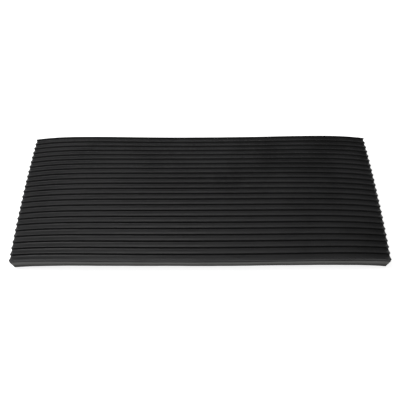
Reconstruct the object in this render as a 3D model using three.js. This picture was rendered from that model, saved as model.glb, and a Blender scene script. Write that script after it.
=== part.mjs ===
import * as THREE from "three";

// Sizes in millimetres. X runs along the ribs, Y across them, Z is up.
// The front of the mat is towards negative Y.

// The sheet
const LENGTH = 518;
const THICKNESS = 19.5;

// The ribs: each sweeps up from its back to a crest and drops off sharply in
// front of it. RIB_SWEEP is the power of the sweep, where 1 is a straight one.
const RIB_COUNT = 24;
const RIB_PITCH = 9.5;
const RIB_HEIGHT = 3.2;
const RIB_FRONT_RUN = 1.6;
const RIB_SWEEP = 1.5;

// The long sides are cut through the first and the last rib, this far
// outside their crests
const FRONT_MARGIN = 2.2;
const BACK_MARGIN = 0.9;
const WIDTH = FRONT_MARGIN + (RIB_COUNT - 1) * RIB_PITCH + BACK_MARGIN;

// The set the sheet has taken: how high its underside stands off the floor
// along the front edge, the centre line and the back edge. The mat rests on
// its four corners.
const MIDDLE_LIFT = { front: 2.3, centre: 11.6, back: 0.8 };
const SHOULDER_LIFT = { front: 4.2, centre: 11.5, back: 4.8 };
const END_LIFT = { front: 0, centre: 3.6, back: 0 };
const SHOULDER_AT = 0.7;

// How finely the curves are cut into flats
const RIB_BACK_FLATS = 5;
const RIB_FRONT_FLATS = 3;
const UNDERSIDE_FLAT = 19;
const LENGTH_FLAT = 29;

// Height and slope along the length of one of the three lines, where u is
// -1 at the left end, 0 at mid length and 1 at the right end.
function alongLength(line, u) {
  const s2 = SHOULDER_AT ** 2;
  const s6 = SHOULDER_AT ** 6;
  const toShoulder = SHOULDER_LIFT[line] - MIDDLE_LIFT[line];
  const toEnd = END_LIFT[line] - MIDDLE_LIFT[line];
  const sixth = (toEnd * s2 - toShoulder) / (s2 - s6);
  const second = toEnd - sixth;
  return {
    height: MIDDLE_LIFT[line] + second * u ** 2 + sixth * u ** 6,
    slope: (2 * second * u + 6 * sixth * u ** 5) / (LENGTH / 2),
  };
}

// Height of the underside and its slope across the width at station u.
function underside(u, y) {
  const v = y / (WIDTH / 2);
  const front = alongLength("front", u).height;
  const centre = alongLength("centre", u).height;
  const back = alongLength("back", u).height;
  const first = (back - front) / 2;
  const second = (back + front) / 2 - centre;
  return {
    height: centre + first * v + second * v * v,
    slope: (first + 2 * second * v) / (WIDTH / 2),
  };
}

// Height of the ribbed top above the flat underside at distance y.
function topHeight(y) {
  const ahead = WIDTH / 2 - BACK_MARGIN - y;
  const past = ahead - Math.floor(ahead / RIB_PITCH) * RIB_PITCH;
  const rise = past <= RIB_FRONT_RUN
    ? (1 + Math.cos((Math.PI * past) / RIB_FRONT_RUN)) / 2
    : ((past - RIB_FRONT_RUN) / (RIB_PITCH - RIB_FRONT_RUN)) ** RIB_SWEEP;
  return THICKNESS - RIB_HEIGHT * (1 - rise);
}

// Distances across the sheet where one flat of the ribs meets the next, from
// back to front, without the two cut sides.
function ribBreaks() {
  const breaks = [];
  const first = -Math.ceil(BACK_MARGIN / RIB_PITCH);
  const last = RIB_COUNT - 1 + Math.floor(FRONT_MARGIN / RIB_PITCH);
  for (let rib = first; rib <= last; rib += 1) {
    const crest = WIDTH / 2 - BACK_MARGIN - rib * RIB_PITCH;
    for (let i = 0; i < RIB_FRONT_FLATS; i += 1) {
      breaks.push(crest - (RIB_FRONT_RUN * i) / RIB_FRONT_FLATS);
    }
    for (let i = 0; i < RIB_BACK_FLATS; i += 1) {
      const run = ((RIB_PITCH - RIB_FRONT_RUN) * i) / RIB_BACK_FLATS;
      breaks.push(crest - RIB_FRONT_RUN - run);
    }
  }
  return breaks.filter((y) => Math.abs(y) < WIDTH / 2);
}

// Closed section of the flat sheet, anticlockwise seen from the right-hand
// end: underside from front to back, then the ribs from back to front.
function sheetSection() {
  const points = [];
  const undersideFlats = Math.ceil(WIDTH / UNDERSIDE_FLAT);
  for (let i = 0; i <= undersideFlats; i += 1) {
    points.push({ y: (WIDTH * i) / undersideFlats - WIDTH / 2, d: 0 });
  }
  for (const y of [WIDTH / 2, ...ribBreaks(), -WIDTH / 2]) {
    points.push({ y, d: topHeight(y) });
  }
  return points;
}

// One section of the bent sheet. Thickness is laid off square to the
// underside, and the whole section stays in one leaning plane, so that each
// cut end is flat.
function bentSection(section, u) {
  const slope = (alongLength("front", u).slope + alongLength("centre", u).slope
    + alongLength("back", u).slope) / 3;
  const base = END_LIFT.front;
  return section.map(({ y, d }) => {
    const under = underside(u, y);
    const square = Math.hypot(1, under.slope, slope);
    const z = under.height + d / square;
    return new THREE.Vector3(
      (u * LENGTH) / 2 - slope * (z - base),
      y - (under.slope * d) / square,
      z,
    );
  });
}

function matGeometry() {
  const section = sheetSection();
  const count = section.length;
  const stations = Math.ceil(LENGTH / LENGTH_FLAT);
  const positions = [];
  const indices = [];
  let first = [];
  for (let s = 0; s <= stations; s += 1) {
    const share = (2 * s) / stations - 1;
    const u = Math.sin((share * Math.PI) / 2) * 0.4 + share * 0.6;
    const points = bentSection(section, u);
    if (s === 0) {
      first = points;
    }
    for (const point of points) {
      positions.push(point.x, point.y, point.z);
    }
  }
  for (let s = 0; s < stations; s += 1) {
    for (let i = 0; i < count; i += 1) {
      const next = (i + 1) % count;
      const a = s * count + i;
      const b = s * count + next;
      indices.push(a, b, a + count);
      indices.push(b, b + count, a + count);
    }
  }
  const outline = first.map((point) => new THREE.Vector2(point.y, point.z));
  const last = stations * count;
  for (const [a, b, c] of THREE.ShapeUtils.triangulateShape(outline, [])) {
    indices.push(a, c, b);
    indices.push(last + a, last + b, last + c);
  }
  const geometry = new THREE.BufferGeometry();
  geometry.setAttribute("position", new THREE.Float32BufferAttribute(positions, 3));
  geometry.setIndex(indices);
  geometry.computeBoundingBox();
  const box = geometry.boundingBox;
  geometry.translate(-(box.min.x + box.max.x) / 2, -(box.min.y + box.max.y) / 2, -box.min.z);
  geometry.computeVertexNormals();
  return geometry;
}

const rubber = new THREE.MeshStandardMaterial({
  name: "black_rubber",
  color: 0x1c1c1d,
  roughness: 0.72,
  metalness: 0,
});

const mat = new THREE.Group();
mat.name = "ribbed_rubber_mat";
const sheet = new THREE.Mesh(matGeometry(), rubber);
sheet.name = "ribbed_mat";
mat.add(sheet);

export default mat;
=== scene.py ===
"""A thick ribbed rubber mat, lying slightly arched on a pale studio floor.

The mat is one piece of stock. Its visual mesh is the bent sheet at a fine
pitch, with swept ribs, soft arrises and knife-cut faces, and it stands for
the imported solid. Everything is in metres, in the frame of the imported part,
apart from the sizes of the sheet, which are in millimetres.
"""

import logging
import math
from dataclasses import dataclass
from enum import Enum

import bpy
import numpy as np
from mathutils import Matrix, Vector
from mathutils.geometry import tessellate_polygon


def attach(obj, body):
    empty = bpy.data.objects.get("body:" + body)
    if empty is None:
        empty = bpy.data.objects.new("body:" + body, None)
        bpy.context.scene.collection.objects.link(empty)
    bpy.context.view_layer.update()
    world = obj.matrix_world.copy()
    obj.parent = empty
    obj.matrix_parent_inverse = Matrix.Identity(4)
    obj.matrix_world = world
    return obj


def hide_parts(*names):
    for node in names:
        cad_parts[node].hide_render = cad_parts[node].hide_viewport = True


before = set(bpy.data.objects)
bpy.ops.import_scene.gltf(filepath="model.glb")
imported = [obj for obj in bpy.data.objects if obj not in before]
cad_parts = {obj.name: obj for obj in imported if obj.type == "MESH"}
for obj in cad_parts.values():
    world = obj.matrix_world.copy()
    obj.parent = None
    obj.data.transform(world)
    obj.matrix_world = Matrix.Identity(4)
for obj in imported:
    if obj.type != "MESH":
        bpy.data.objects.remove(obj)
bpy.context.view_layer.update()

MM = 0.001
DEPTH_ATTRIBUTE = "cut_depth"
NOISE_ROUGHNESS = 0.6
WHITE = (1.0, 1.0, 1.0, 1.0)

Triple = tuple[float, float, float]

log = logging.getLogger("ribbed_mat")


class Skin(Enum):
    """The three kinds of surface on the mat, by material index."""

    RIBS = 0
    CUT = 1
    UNDERSIDE = 2


@dataclass(frozen=True)
class Lift:
    """How high the underside stands off the floor at one place along the mat.

    The heights are in millimetres.
    """

    front: float
    centre: float
    back: float

    def lines(self) -> np.ndarray:
        """The three heights in metres, front to back."""
        return np.array([self.front, self.centre, self.back]) * MM


@dataclass(frozen=True)
class BentSheet:
    """The form of the sheet: its flat section and the set it has taken.

    Its sizes are in millimetres, as on a drawing.

    Attributes:
        thickness: Over the crests of the ribs.
        rib_front_run: How far the steep front of a rib runs.
        rib_sweep: Power of the sweep of a rib's back, where 1 is straight.
        front_margin: From the last crest to the front side.
        back_margin: From the first crest to the back side.
        shoulder_at: Where the shoulder is, as a share of half the length.
        box_stations: How many places along it are tried to find its box.
    """

    length: float = 518.0
    thickness: float = 19.5
    rib_count: int = 24
    rib_pitch: float = 9.5
    rib_height: float = 3.2
    rib_front_run: float = 1.6
    rib_sweep: float = 1.5
    front_margin: float = 2.2
    back_margin: float = 0.9
    middle: Lift = Lift(front=2.3, centre=11.6, back=0.8)
    shoulder: Lift = Lift(front=4.2, centre=11.5, back=4.8)
    end: Lift = Lift(front=0.0, centre=3.6, back=0.0)
    shoulder_at: float = 0.7
    box_stations: int = 41

    @property
    def width(self) -> float:
        """Width across the ribs in millimetres."""
        crests = (self.rib_count - 1) * self.rib_pitch
        return self.front_margin + crests + self.back_margin

    def crest(self, rib: int) -> float:
        """Distance across the sheet of one rib's crest, counted from the back."""
        return self.width / 2 - self.back_margin - rib * self.rib_pitch

    def top_height(self, y: float) -> float:
        """Height of the ribbed top above the flat underside.

        Args:
            y: Distance across the sheet in millimetres.

        Returns:
            The height in millimetres.
        """
        past = (self.crest(0) - y) % self.rib_pitch
        if past <= self.rib_front_run:
            rise = 0.5 + 0.5 * math.cos(math.pi * past / self.rib_front_run)
        else:
            back_run = self.rib_pitch - self.rib_front_run
            rise = ((past - self.rib_front_run) / back_run) ** self.rib_sweep
        return self.thickness - self.rib_height * (1 - rise)

    def _along(self, u: float) -> tuple[np.ndarray, np.ndarray]:
        """Heights and slopes of the front, centre and back lines.

        Each line is its middle height plus a square and a sixth power of u,
        which take it through its shoulder and its end.

        Args:
            u: Place along the mat, from -1 at the left end to 1.

        Returns:
            Three heights in metres, and three slopes along X.
        """
        s2, s6 = self.shoulder_at ** 2, self.shoulder_at ** 6
        to_shoulder = self.shoulder.lines() - self.middle.lines()
        to_end = self.end.lines() - self.middle.lines()
        sixth = (to_end * s2 - to_shoulder) / (s2 - s6)
        second = to_end - sixth
        height = self.middle.lines() + second * u ** 2 + sixth * u ** 6
        slope = (2 * second * u + 6 * sixth * u ** 5) / (self.length * MM / 2)
        return height, slope

    def place(self, u: float, y: np.ndarray, d: np.ndarray) -> np.ndarray:
        """Bends points of the flat section into the set of the sheet.

        Args:
            u: Place along the mat, from -1 at the left end to 1.
            y: Distances across the flat sheet in metres.
            d: Heights above the flat underside in metres.

        Returns:
            One row of X, Y, Z in metres for each point.
        """
        half = self.width * MM / 2
        (front, centre, back), slopes = self._along(u)
        first, second = (back - front) / 2, (back + front) / 2 - centre
        v = y / half
        lean = float(slopes.mean())
        across = (first + 2 * second * v) / half
        square = np.sqrt(1 + across ** 2 + lean ** 2)
        z = centre + first * v + second * v * v + d / square
        x = u * self.length * MM / 2 - lean * (z - self.end.front * MM)
        return np.stack([x, y - across * d / square, z], axis=1)

    def box_middle(self) -> float:
        """Finds the middle of the bent sheet's box across the ribs.

        Returns:
            Its Y in metres, where the flat sheet's middle is nought.
        """
        half = self.width / 2
        y = np.array([half, half, -half, -half]) * MM
        tops = self.top_height(half), self.top_height(-half)
        d = np.array([0.0, tops[0], 0.0, tops[1]]) * MM
        places = np.linspace(-1, 1, self.box_stations)
        edges = np.concatenate([self.place(u, y, d)[:, 1] for u in places])
        return float(edges.min() + edges.max()) / 2


@dataclass(frozen=True)
class SectionPoint:
    """One point of the flat section, with the skin of the face after it."""

    y: float
    d: float
    skin: Skin


@dataclass(frozen=True)
class KnifeWander:
    """How unevenly the knife cut the two long sides.

    Attributes:
        fade: Depth behind a side over which the wander fades out, in metres.
        inset: How far the sides lie in from the true form, in metres.
        waves: Rate and phase in radians, and share, of each wave along it.
        wave_height: Height of a whole wave in metres.
        scallop_rise: Rate of the scallops up the side, in radians a metre.
        scallop_drift: How far they turn along half the length, in radians.
        scallop_height: Height of the scallops in metres.
    """

    fade: float = 0.0012
    inset: float = 0.0002
    waves: tuple[Triple, ...] = (
        (9.1, 0.6, 1.0),
        (23.7, 2.1, 0.6),
        (61.0, 4.0, 0.35),
    )
    wave_height: float = 0.00010
    scallop_rise: float = 700.0
    scallop_drift: float = 13.0
    scallop_height: float = 0.00006

    def shift(self, half_width: float, u: float, y: np.ndarray,
              d: np.ndarray) -> np.ndarray:
        """Moves the long sides in and out along the mat.

        Args:
            half_width: Half the width of the sheet in metres.
            u: Place along the mat, from -1 at the left end to 1.
            y: Distances across the flat sheet in metres.
            d: Heights above the flat underside in metres.

        Returns:
            A shift along Y for each point, nought away from the sides.
        """
        edge = half_width - self.fade
        on_face = np.clip((np.abs(y) - edge) / self.fade, 0, 1)
        wave = sum(share * math.sin(rate * u + phase)
                   for rate, phase, share in self.waves)
        scallop = np.sin(d * self.scallop_rise + self.scallop_drift * u)
        moved = scallop * self.scallop_height + wave * self.wave_height
        return np.sign(y) * on_face * (moved - self.inset)


def quarter_round(radius: float, flats: int) -> list[tuple[float, float]]:
    """Cuts a rounded edge between two faces into flats.

    Args:
        radius: Radius of the edge.
        flats: How many flats it gets.

    Returns:
        Distances in from the second face and from the first, for each point
        from the first face to the second.
    """
    turns = [math.pi / 2 * i / flats for i in range(flats + 1)]
    return [(radius * (1 - math.sin(turn)), radius * (1 - math.cos(turn)))
            for turn in turns]


def stand(name: str, data: bpy.types.ID) -> bpy.types.Object:
    """Puts new data into the scene.

    Args:
        name: The object's name.
        data: The mesh, light or camera that it shows.

    Returns:
        The new object.
    """
    made = bpy.data.objects.new(name, data)
    bpy.context.scene.collection.objects.link(made)
    return made


def make_group(name: str, inputs: dict[str, float],
               outputs: tuple[str, ...]) -> bpy.types.NodeTree:
    """Starts a shader node group with named sockets for numbers.

    Args:
        name: The group's name.
        inputs: Each input's name and default value.
        outputs: Each output's name.

    Returns:
        The group, holding only its input and output nodes.
    """
    group = bpy.data.node_groups.new(name, "ShaderNodeTree")
    for label, value in inputs.items():
        socket = group.interface.new_socket(
            label, in_out="INPUT", socket_type="NodeSocketFloat")
        socket.default_value = value
    for label in outputs:
        group.interface.new_socket(
            label, in_out="OUTPUT", socket_type="NodeSocketFloat")
    group.nodes.new("NodeGroupInput")
    group.nodes.new("NodeGroupOutput")
    return group


class NodeBench:
    """Adds and joins nodes in one tree, so that a material reads as a list."""

    def __init__(self, tree: bpy.types.NodeTree) -> None:
        """Takes the tree to work in."""
        self.tree = tree

    def add(self, kind: str, **settings: object) -> bpy.types.Node:
        """Adds a node.

        Args:
            kind: The node's type, without the word ShaderNode.
            **settings: Its properties; a name that isn't a property is an
                input socket, with underscores for spaces.

        Returns:
            The new node.
        """
        node = self.tree.nodes.new("ShaderNode" + kind)
        for name, value in settings.items():
            if hasattr(node, name):
                setattr(node, name, value)
            else:
                node.inputs[name.replace("_", " ")].default_value = value
        return node

    def join(self, source: bpy.types.NodeSocket,
             target: bpy.types.NodeSocket) -> None:
        """Joins an output to an input."""
        self.tree.links.new(source, target)

    def calc(self, operation: str, a: bpy.types.NodeSocket,
             b: bpy.types.NodeSocket | float,
             clamp: bool = False) -> bpy.types.NodeSocket:
        """Adds one sum.

        Args:
            operation: Blender's name for it.
            a: The first value.
            b: The second value, from a socket or fixed.
            clamp: Keeps the result from 0 to 1.

        Returns:
            The socket with the result.
        """
        node = self.add("Math", operation=operation, use_clamp=clamp)
        self.join(a, node.inputs[0])
        if isinstance(b, bpy.types.NodeSocket):
            self.join(b, node.inputs[1])
        else:
            node.inputs[1].default_value = b
        return node.outputs["Value"]

    def total(self, *parts: tuple[bpy.types.NodeSocket, float]
              ) -> bpy.types.NodeSocket:
        """Adds up values, each times its own weight.

        Args:
            *parts: Each value's socket and weight.

        Returns:
            The socket with the total.
        """
        weighed = [self.calc("MULTIPLY", value, weight) for value, weight in parts]
        result = weighed[0]
        for part in weighed[1:]:
            result = self.calc("ADD", result, part)
        return result

    def noise(self, vector: bpy.types.NodeSocket, scale: float, detail: float,
              stretch: Triple = (1, 1, 1)) -> bpy.types.NodeSocket:
        """Adds noise over the object.

        Args:
            vector: The coordinate to read.
            scale: Noise scale, in cells a metre.
            detail: Octaves.
            stretch: Scale along each axis before the noise.

        Returns:
            The noise value, about 0.5 in the middle.
        """
        mapping = self.add("Mapping", Scale=stretch)
        self.join(vector, mapping.inputs["Vector"])
        node = self.add("TexNoise", Scale=scale, Detail=detail,
                        Roughness=NOISE_ROUGHNESS)
        self.join(mapping.outputs["Vector"], node.inputs["Vector"])
        return node.outputs["Fac"]

    def ramp(self, value: bpy.types.NodeSocket, low: float, high: float,
             start: float = 0.0, stop: float = 1.0) -> bpy.types.NodeSocket:
        """Maps a value smoothly from low..high to start..stop.

        Args:
            value: The socket to map.
            low: Value that gives start.
            high: Value that gives stop.
            start: Result at low.
            stop: Result at high.

        Returns:
            The mapped value.
        """
        node = self.add("MapRange", interpolation_type="SMOOTHSTEP",
                        From_Min=low, From_Max=high, To_Min=start, To_Max=stop)
        self.join(value, node.inputs["Value"])
        return node.outputs["Result"]


@dataclass(frozen=True)
class NoiseLayer:
    """One layer of noise in the grain.

    Attributes:
        scale: Cells a metre.
        detail: Octaves.
        tone: Its share of the tone.
        relief: Its height in metres.
    """

    scale: float
    detail: float
    tone: float
    relief: float = 0.0


@dataclass(frozen=True)
class RubberGrain:
    """The skin of black rubber: cloudy tone, fine grain and a matt bloom.

    Attributes:
        name: The node group's name.
        cloud: Broad clouds, which also carry the bloom.
        drawn: Grain that can be drawn out along the ribs.
        fine: The finest grain.
        tone_range: Noise that gives a tone of 0 and of 1.
        bloom_range: Noise that gives a bloom of 0 and of 1.
    """

    name: str = "rubber_grain"
    cloud: NoiseLayer = NoiseLayer(scale=14.0, detail=3.0, tone=0.55)
    drawn: NoiseLayer = NoiseLayer(scale=420.0, detail=4.0, tone=0.30,
                                   relief=0.00010)
    fine: NoiseLayer = NoiseLayer(scale=1900.0, detail=2.0, tone=0.15,
                                  relief=0.00004)
    tone_range: tuple[float, float] = (0.30, 0.70)
    bloom_range: tuple[float, float] = (0.35, 0.70)

    def group(self) -> bpy.types.NodeTree:
        """Gives the shared node group, and builds it the first time.

        Returns:
            A group whose outputs are a tone mask, a bloom mask and a height
            in metres.
        """
        return bpy.data.node_groups.get(self.name) or self._build()

    def _build(self) -> bpy.types.NodeTree:
        """Builds the node group.

        Returns:
            The group. Its input Stretch scales the drawn grain along X.
        """
        group = make_group(self.name, {"Stretch": 1.0},
                           ("Tone", "Bloom", "Height"))
        bench = NodeBench(group)
        given, result = group.nodes["Group Input"], group.nodes["Group Output"]
        place = bench.add("TexCoord").outputs["Object"]
        pull = bench.add("CombineXYZ", Y=1.0, Z=1.0)
        bench.join(given.outputs["Stretch"], pull.inputs["X"])
        pulled = bench.add("VectorMath", operation="MULTIPLY")
        bench.join(place, pulled.inputs[0])
        bench.join(pull.outputs["Vector"], pulled.inputs[1])
        cloud = bench.noise(place, self.cloud.scale, self.cloud.detail)
        drawn = bench.noise(pulled.outputs["Vector"], self.drawn.scale,
                            self.drawn.detail)
        fine = bench.noise(place, self.fine.scale, self.fine.detail)
        tone = bench.total((cloud, self.cloud.tone), (drawn, self.drawn.tone),
                           (fine, self.fine.tone))
        height = bench.total((drawn, self.drawn.relief),
                             (fine, self.fine.relief))
        bench.join(bench.ramp(tone, *self.tone_range), result.inputs["Tone"])
        bench.join(bench.ramp(cloud, *self.bloom_range), result.inputs["Bloom"])
        bench.join(height, result.inputs["Height"])
        return group


@dataclass(frozen=True)
class RubberFinish:
    """One finish of the rubber, from its tone, gloss and grain.

    Attributes:
        name: The material's name.
        dark: Colour where the tone is 0.
        pale: Colour where the tone is 1.
        roughness: Roughness where the bloom is middling.
        bloom: How far the roughness goes either way from there.
        specular: Specular level.
        stretch: Scale of the drawn grain along the ribs.
        bump: Strength of the relief.
    """

    name: str
    dark: Triple
    pale: Triple
    roughness: float
    bloom: float
    specular: float
    stretch: float
    bump: float

    def material(self) -> bpy.types.Material:
        """Builds the finish.

        Returns:
            A material whose colour, roughness and normal vary over the mat.
        """
        made = bpy.data.materials.new(self.name)
        made.use_nodes = True
        bench = NodeBench(made.node_tree)
        shader = made.node_tree.nodes["Principled BSDF"]
        grain = bench.add("Group", node_tree=RubberGrain().group())
        grain.inputs["Stretch"].default_value = self.stretch
        colour = bench.add("Mix", data_type="RGBA")
        colour.inputs["A"].default_value = (*self.dark, 1.0)
        colour.inputs["B"].default_value = (*self.pale, 1.0)
        bench.join(self.tone(bench, grain), colour.inputs["Factor"])
        bench.join(colour.outputs["Result"], shader.inputs["Base Color"])
        rough = bench.ramp(grain.outputs["Bloom"], 0.0, 1.0,
                           self.roughness - self.bloom,
                           self.roughness + self.bloom)
        bench.join(rough, shader.inputs["Roughness"])
        shader.inputs["Specular IOR Level"].default_value = self.specular
        bump = bench.add("Bump", Strength=self.bump, Distance=1.0)
        bench.join(self.height(bench, grain), bump.inputs["Height"])
        bench.join(bump.outputs["Normal"], shader.inputs["Normal"])
        return made

    def tone(self, bench: NodeBench,
             grain: bpy.types.Node) -> bpy.types.NodeSocket:
        """The mask between the dark and the pale colour."""
        return grain.outputs["Tone"]

    def height(self, bench: NodeBench,
               grain: bpy.types.Node) -> bpy.types.NodeSocket:
        """The relief under the bump, in metres."""
        return grain.outputs["Height"]


@dataclass(frozen=True)
class CutFinish(RubberFinish):
    """Knife-cut rubber: score lines, and a paler band along the middle, which is
    partly the cut rubber's own paler tone and partly painted light on the upper
    face.

    Below the band the lower face is painted shade, and above it a dark strip is
    painted shade along the top arris.

    Attributes:
        band_foot: Middle of the band's lower edge, as a share of the
            thickness.
        band_head: Middle of its upper edge, as a share of the thickness.
        foot_soft: How far the lower edge fades either way.
        head_soft: How far the upper edge fades either way.
        lit_band_tone: Tone of the band; the grain's tone has the rest.
        score_scale: Score lines a metre up the face.
        score_detail: Octaves of the score lines.
        score_stretch: Scale of the score lines along each axis.
        score_relief: Height of the score lines in metres.
    """

    band_foot: float = 0.44
    band_head: float = 0.83
    foot_soft: float = 0.14
    head_soft: float = 0.07
    lit_band_tone: float = 0.8
    score_scale: float = 900.0
    score_detail: float = 2.0
    score_stretch: Triple = (0.12, 0.12, 1.0)
    score_relief: float = 0.00012

    def tone(self, bench: NodeBench,
             grain: bpy.types.Node) -> bpy.types.NodeSocket:
        """Adds the pale band of painted light, with painted shade below and above
        it, to the grain's tone.

        Args:
            bench: The bench of the material.
            grain: The grain group node.

        Returns:
            The mask between the dark and the pale colour.
        """
        node = bench.add("Attribute", attribute_name=DEPTH_ATTRIBUTE)
        depth = node.outputs["Fac"]
        # Painted light: a pale band across the upper cut face; below its foot and
        # above its head the face keeps the dark tone as painted shade.
        rising = bench.ramp(depth, self.band_foot - self.foot_soft,
                            self.band_foot + self.foot_soft,
                            0.0, self.lit_band_tone)
        falling = bench.ramp(depth, self.band_head - self.head_soft,
                             self.band_head + self.head_soft, 1.0, 0.0)
        band = bench.calc("MULTIPLY", rising, falling)
        loose = bench.calc("MULTIPLY", grain.outputs["Tone"],
                           1.0 - self.lit_band_tone)
        return bench.calc("ADD", band, loose, clamp=True)

    def height(self, bench: NodeBench,
               grain: bpy.types.Node) -> bpy.types.NodeSocket:
        """Adds score lines along the cut to the grain's relief.

        Args:
            bench: The bench of the material.
            grain: The grain group node.

        Returns:
            The relief in metres.
        """
        place = bench.add("TexCoord").outputs["Object"]
        scores = bench.noise(place, self.score_scale, self.score_detail,
                             self.score_stretch)
        relief = bench.calc("MULTIPLY", scores, self.score_relief)
        return bench.calc("ADD", grain.outputs["Height"], relief)


FINISHES: dict[Skin, RubberFinish] = {
    Skin.RIBS: RubberFinish(
        name="ribbed_rubber",
        dark=(0.006, 0.006, 0.0062),
        pale=(0.013, 0.013, 0.0135),
        roughness=0.50,
        bloom=0.07,
        specular=0.36,
        stretch=0.04,
        bump=0.5,
    ),
    Skin.CUT: CutFinish(
        name="cut_rubber",
        # dark is partly the cut rubber's own tone and partly painted shade on the
        # lower face and top arris; pale is its paler tone with painted light.
        dark=(0.017, 0.017, 0.0155),
        pale=(0.080, 0.080, 0.076),
        roughness=0.75,
        bloom=0.06,
        specular=0.25,
        stretch=1.0,
        bump=0.6,
    ),
    Skin.UNDERSIDE: RubberFinish(
        name="underside_rubber",
        dark=(0.012, 0.012, 0.012),
        pale=(0.028, 0.028, 0.028),
        roughness=0.66,
        bloom=0.08,
        specular=0.35,
        stretch=0.6,
        bump=0.6,
    ),
}


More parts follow.
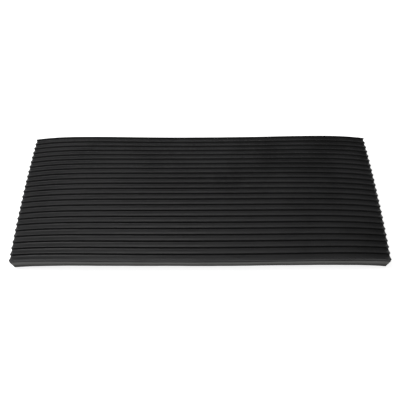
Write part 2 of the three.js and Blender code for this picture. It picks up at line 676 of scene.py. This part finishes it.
@dataclass(frozen=True)
class RibbedMat:
    """The mat: one bent sheet with ribs on top and cut faces all round.

    Attributes:
        form: The sheet's form.
        knife: How the long sides were cut.
        rib_front_flats: Flats on the steep front of each rib.
        rib_back_flats: Flats on the swept back of each rib.
        stations: Sections along the sheet, without the rounded ends.
        end_crowding: How much closer the sections stand towards the ends.
        under_flats: Flats across the underside.
        side_rows: Rows of faces up each long side.
        arris: Breadth of the small upper and end arrises in millimetres.
        arris_inset: Depth of an upper arris's middle, as a share of it.
        base_round: Radius of the lower edge in millimetres.
        round_flats: Flats round the lower edge and round an end arris.
        least_gap: Least distance of a rib's point from the side's arris in
            millimetres.
    """

    form: BentSheet = BentSheet()
    knife: KnifeWander = KnifeWander()
    rib_front_flats: int = 7
    rib_back_flats: int = 9
    stations: int = 110
    end_crowding: float = 0.4
    under_flats: int = 48
    side_rows: int = 12
    arris: float = 0.35
    arris_inset: float = 0.3
    base_round: float = 1.1
    round_flats: int = 3
    least_gap: float = 0.1

    def section(self) -> list[SectionPoint]:
        """The closed flat section, in metres, front to back underneath.

        Returns:
            Its points in order, anticlockwise seen from the right-hand end.
        """
        half = self.form.width / 2
        inner = (half - self.base_round) * MM
        points = [SectionPoint((2 * i / self.under_flats - 1) * inner, 0.0,
                               Skin.UNDERSIDE)
                  for i in range(self.under_flats)]
        points += self._side(1)
        points += self._ribs(half - self.arris)
        points += reversed(self._side(-1))
        return points

    def _side(self, side: int) -> list[SectionPoint]:
        """One long cut face, rounded below and with a small arris above.

        Args:
            side: 1 at the back or -1 at the front.

        Returns:
            Its points from the underside up.
        """
        half = self.form.width / 2
        top = self.form.top_height(side * half)
        rise = top - self.arris - self.base_round
        inset = self.arris * self.arris_inset
        rows = [(half - inwards, up)
                for inwards, up in quarter_round(self.base_round, self.round_flats)]
        rows += [(half, self.base_round + rise * i / self.side_rows)
                 for i in range(1, self.side_rows + 1)]
        rows.append((half - inset, top - inset))
        return [SectionPoint(side * y * MM, d * MM, Skin.CUT) for y, d in rows]

    def _ribs(self, reach: float) -> list[SectionPoint]:
        """The ribbed top, from back to front.

        Args:
            reach: Half the breadth that it covers, in millimetres.

        Returns:
            Its points, the first and the last at the reach.
        """
        form = self.form
        back_run = form.rib_pitch - form.rib_front_run
        steps = [form.rib_front_run * i / self.rib_front_flats
                 for i in range(self.rib_front_flats)]
        steps += [form.rib_front_run + back_run * i / self.rib_back_flats
                  for i in range(self.rib_back_flats)]
        breaks = [form.crest(rib) - step
                  for rib in range(-1, form.rib_count) for step in steps]
        inside = [y for y in breaks if abs(y) < reach - self.least_gap]
        return [SectionPoint(y * MM, form.top_height(y) * MM, Skin.RIBS)
                for y in (reach, *inside, -reach)]

    def _rings(self) -> list[tuple[float, float]]:
        """Where the sections stand along the sheet.

        Returns:
            Each one's place from -1 to 1, and how far it is shrunk in metres
            to round off the ends.
        """
        half = self.form.length * MM / 2
        arris = self.arris * MM
        edge = quarter_round(arris, self.round_flats)[1:]
        left = [(-1 + inwards / half, shrink)
                for inwards, shrink in reversed(edge)]
        right = [(1 - inwards / half, shrink) for inwards, shrink in edge]
        turn = np.linspace(-1, 1, self.stations)
        spread = ((1 - self.end_crowding) * turn
                  + self.end_crowding * np.sin(turn * math.pi / 2))
        inner = 1.0 - arris / half
        return left + [(float(u), 0.0) for u in inner * spread] + right

    def build(self) -> bpy.types.Object:
        """Sweeps the section along the bent sheet and closes both ends.

        Returns:
            The mat as one closed mesh with smooth ribs.
        """
        section = self.section()
        y = np.array([point.y for point in section])
        d = np.array([point.d for point in section])
        normals = self._section_normals(y, d)
        half_width = self.form.width * MM / 2
        middle = np.array([0.0, self.form.box_middle(), 0.0])
        rings = []
        for u, shrink in self._rings():
            inwards = normals * shrink
            across = y - inwards[:, 0] + self.knife.shift(half_width, u, y, d)
            rings.append(self.form.place(u, across, d - inwards[:, 1]) - middle)
        return self._mesh(section, np.array(rings), d)

    @staticmethod
    def _section_normals(y: np.ndarray, d: np.ndarray) -> np.ndarray:
        """Outward normals of the flat section at its points.

        Args:
            y: Distances across the flat sheet.
            d: Heights above the flat underside.

        Returns:
            One row of Y and height for each point, of length 1.
        """
        run = np.stack([np.roll(y, -1) - np.roll(y, 1),
                        np.roll(d, -1) - np.roll(d, 1)], 1)
        run /= np.linalg.norm(run, axis=1)[:, None]
        return np.stack([run[:, 1], -run[:, 0]], 1)

    def _mesh(self, section: list[SectionPoint], rings: np.ndarray,
              d: np.ndarray) -> bpy.types.Object:
        """Joins the rings into one closed mesh.

        Args:
            section: The flat section's points.
            rings: Ring, point and coordinate.
            d: Heights above the flat underside in metres.

        Returns:
            The object, with a skin on every face.
        """
        stations, count = rings.shape[:2]
        walls = self._walls(stations, count)
        ends = self._ends(rings[0], (stations - 1) * count)
        skins = [point.skin.value for point in section] * (stations - 1)
        skins += [Skin.CUT.value] * len(ends)
        smooth = [True] * len(walls) + [False] * len(ends)
        mesh = bpy.data.meshes.new("ribbed_mat_skin")
        mesh.from_pydata(rings.reshape(-1, 3).tolist(), [], walls + ends)
        mesh.polygons.foreach_set("use_smooth", smooth)
        mesh.polygons.foreach_set("material_index", skins)
        depth = mesh.attributes.new(DEPTH_ATTRIBUTE, "FLOAT", "POINT")
        share = np.tile(d / (self.form.thickness * MM), stations)
        depth.data.foreach_set("value", share.astype(np.float32))
        mesh.update()
        return stand("ribbed_mat_skin", mesh)

    @staticmethod
    def _walls(stations: int, count: int) -> list[tuple[int, ...]]:
        """The faces between each ring and the next.

        Args:
            stations: Number of rings.
            count: Number of points in each.

        Returns:
            Four point numbers for each face.
        """
        faces = []
        for start in range(0, (stations - 1) * count, count):
            for i in range(count):
                a, b = start + i, start + (i + 1) % count
                faces.append((a, b, b + count, a + count))
        return faces

    @staticmethod
    def _ends(ring: np.ndarray, last: int) -> list[tuple[int, ...]]:
        """The faces of the two cut ends.

        Args:
            ring: Points of the left end.
            last: Number of the first point of the right end.

        Returns:
            Three point numbers for each face.
        """
        outline = [Vector((y, z, 0)) for _, y, z in ring]
        faces = []
        for a, b, c in tessellate_polygon([outline]):
            one, two = outline[b] - outline[a], outline[c] - outline[a]
            if one.cross(two).z < 0:
                b, c = c, b
            faces.append((a, c, b))
            faces.append((last + a, last + b, last + c))
        return faces

    def dress(self, piece: bpy.types.Object) -> None:
        """Gives the piece its finishes, in the order of Skin.

        Args:
            piece: The mat's mesh object.
        """
        for skin in Skin:
            piece.data.materials.append(FINISHES[skin].material())

    def install(self) -> bpy.types.Object:
        """Builds, dresses and seats the mat on its body.

        Returns:
            The finished piece.
        """
        piece = self.build()
        self.dress(piece)
        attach(piece, "root")
        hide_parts("ribbed_mat")
        return piece


@dataclass(frozen=True)
class SoftLight:
    """One studio light: a white square panel that looks at the mat.

    Attributes:
        name: The light's name.
        place: Where its middle hangs, in metres.
        size: Its side in metres.
        power: Its power in watts.
    """

    name: str
    place: Triple
    size: float
    power: float

    def hang(self) -> bpy.types.Object:
        """Hangs the light and turns it to the middle of the mat.

        Returns:
            The light.
        """
        lamp = bpy.data.lights.new(self.name, "AREA")
        lamp.shape = "SQUARE"
        lamp.size = self.size
        lamp.energy = self.power
        made = stand(self.name, lamp)
        made.location = self.place
        ahead = -Vector(self.place)
        made.rotation_euler = ahead.to_track_quat("-Z", "Y").to_euler()
        return made


@dataclass(frozen=True)
class Studio:
    """Pale floor, soft light and the camera.

    Attributes:
        floor_size: Side of the floor in metres.
        floor_tone: Tone of the floor's own colour.
        floor_glow: Strength of its glow, which keeps it white.
        floor_roughness: Its roughness.
        floor_specular: Its specular level.
        sky: Strength of the white sky.
        lens: Focal length in millimetres.
        sensor: Width of the sensor in millimetres.
        near: Nearest distance that the camera sees, in metres.
        distance: From the camera to its target in metres.
        elevation: How far the camera looks down, in degrees.
        yaw: How far it looks to the right, in degrees.
        roll: How far it is turned about its own axis, in degrees.
        target: The point that it looks at.
        lights: The lights.
    """

    floor_size: float = 14.0
    floor_tone: float = 0.66
    floor_glow: float = 0.80
    floor_roughness: float = 0.9
    floor_specular: float = 0.1
    sky: float = 0.30
    lens: float = 49.5
    sensor: float = 36.0
    near: float = 0.01
    distance: float = 0.8355
    elevation: float = 54.547
    yaw: float = -0.598
    roll: float = -0.707
    target: Triple = (0.0002, 0.00415, 0.0)
    lights: tuple[SoftLight, ...] = (
        SoftLight("top_panel", (-0.70, 0.36, 1.40), size=0.9, power=18.0),
        SoftLight("back_panel", (-0.10, 0.90, 0.46), size=0.4, power=1.2),
        SoftLight("left_panel", (-1.30, 0.20, 0.75), size=0.9, power=1.6),
    )

    def floor(self) -> bpy.types.Object:
        """Lays the floor.

        Returns:
            The floor.
        """
        half = self.floor_size / 2
        corners = [(-half, -half, 0), (half, -half, 0), (half, half, 0),
                   (-half, half, 0)]
        mesh = bpy.data.meshes.new("floor")
        mesh.from_pydata(corners, [], [(0, 1, 2, 3)])
        made = stand("floor", mesh)
        paint = bpy.data.materials.new("floor_white")
        paint.use_nodes = True
        tone = self.floor_tone
        given = paint.node_tree.nodes["Principled BSDF"].inputs
        given["Base Color"].default_value = (tone, tone, tone, 1.0)
        given["Roughness"].default_value = self.floor_roughness
        given["Specular IOR Level"].default_value = self.floor_specular
        given["Emission Color"].default_value = WHITE
        given["Emission Strength"].default_value = self.floor_glow
        mesh.materials.append(paint)
        return made

    def world(self) -> None:
        """Sets a plain even sky."""
        sky = bpy.data.worlds.new("studio")
        sky.use_nodes = True
        given = sky.node_tree.nodes["Background"].inputs
        given["Color"].default_value = WHITE
        given["Strength"].default_value = self.sky
        bpy.context.scene.world = sky

    def camera(self) -> bpy.types.Object:
        """Stands the camera at the picture's viewing angle.

        Returns:
            The camera, set as the scene's own.
        """
        down, aside = math.radians(self.elevation), math.radians(self.yaw)
        ahead = Vector((math.sin(aside) * math.cos(down),
                        math.cos(aside) * math.cos(down), -math.sin(down)))
        lens = bpy.data.cameras.new("camera")
        lens.lens = self.lens
        lens.sensor_width = self.sensor
        lens.clip_start = self.near
        made = stand("camera", lens)
        level = ahead.to_track_quat("-Z", "Y").to_matrix().to_4x4()
        tilt = Matrix.Rotation(math.radians(self.roll), 4, "Z")
        spot = Vector(self.target) - ahead * self.distance
        made.matrix_world = Matrix.Translation(spot) @ level @ tilt
        bpy.context.scene.camera = made
        return made

    def set_up(self) -> None:
        """Sets up floor, sky, lights, camera and plain tones."""
        self.floor()
        self.world()
        for light in self.lights:
            light.hang()
        self.camera()
        view = bpy.context.scene.view_settings
        view.view_transform = "Standard"
        view.look = "None"


def main() -> None:
    """Builds the mat, then the studio round it, and reports each."""
    logging.basicConfig(level=logging.INFO, format="%(name)s: %(message)s")
    piece = RibbedMat().install()
    log.info("%s: %d faces", piece.name, len(piece.data.polygons))
    studio = Studio()
    studio.set_up()
    log.info("studio: %d lights", len(studio.lights))


if __name__ == "__main__":
    main()
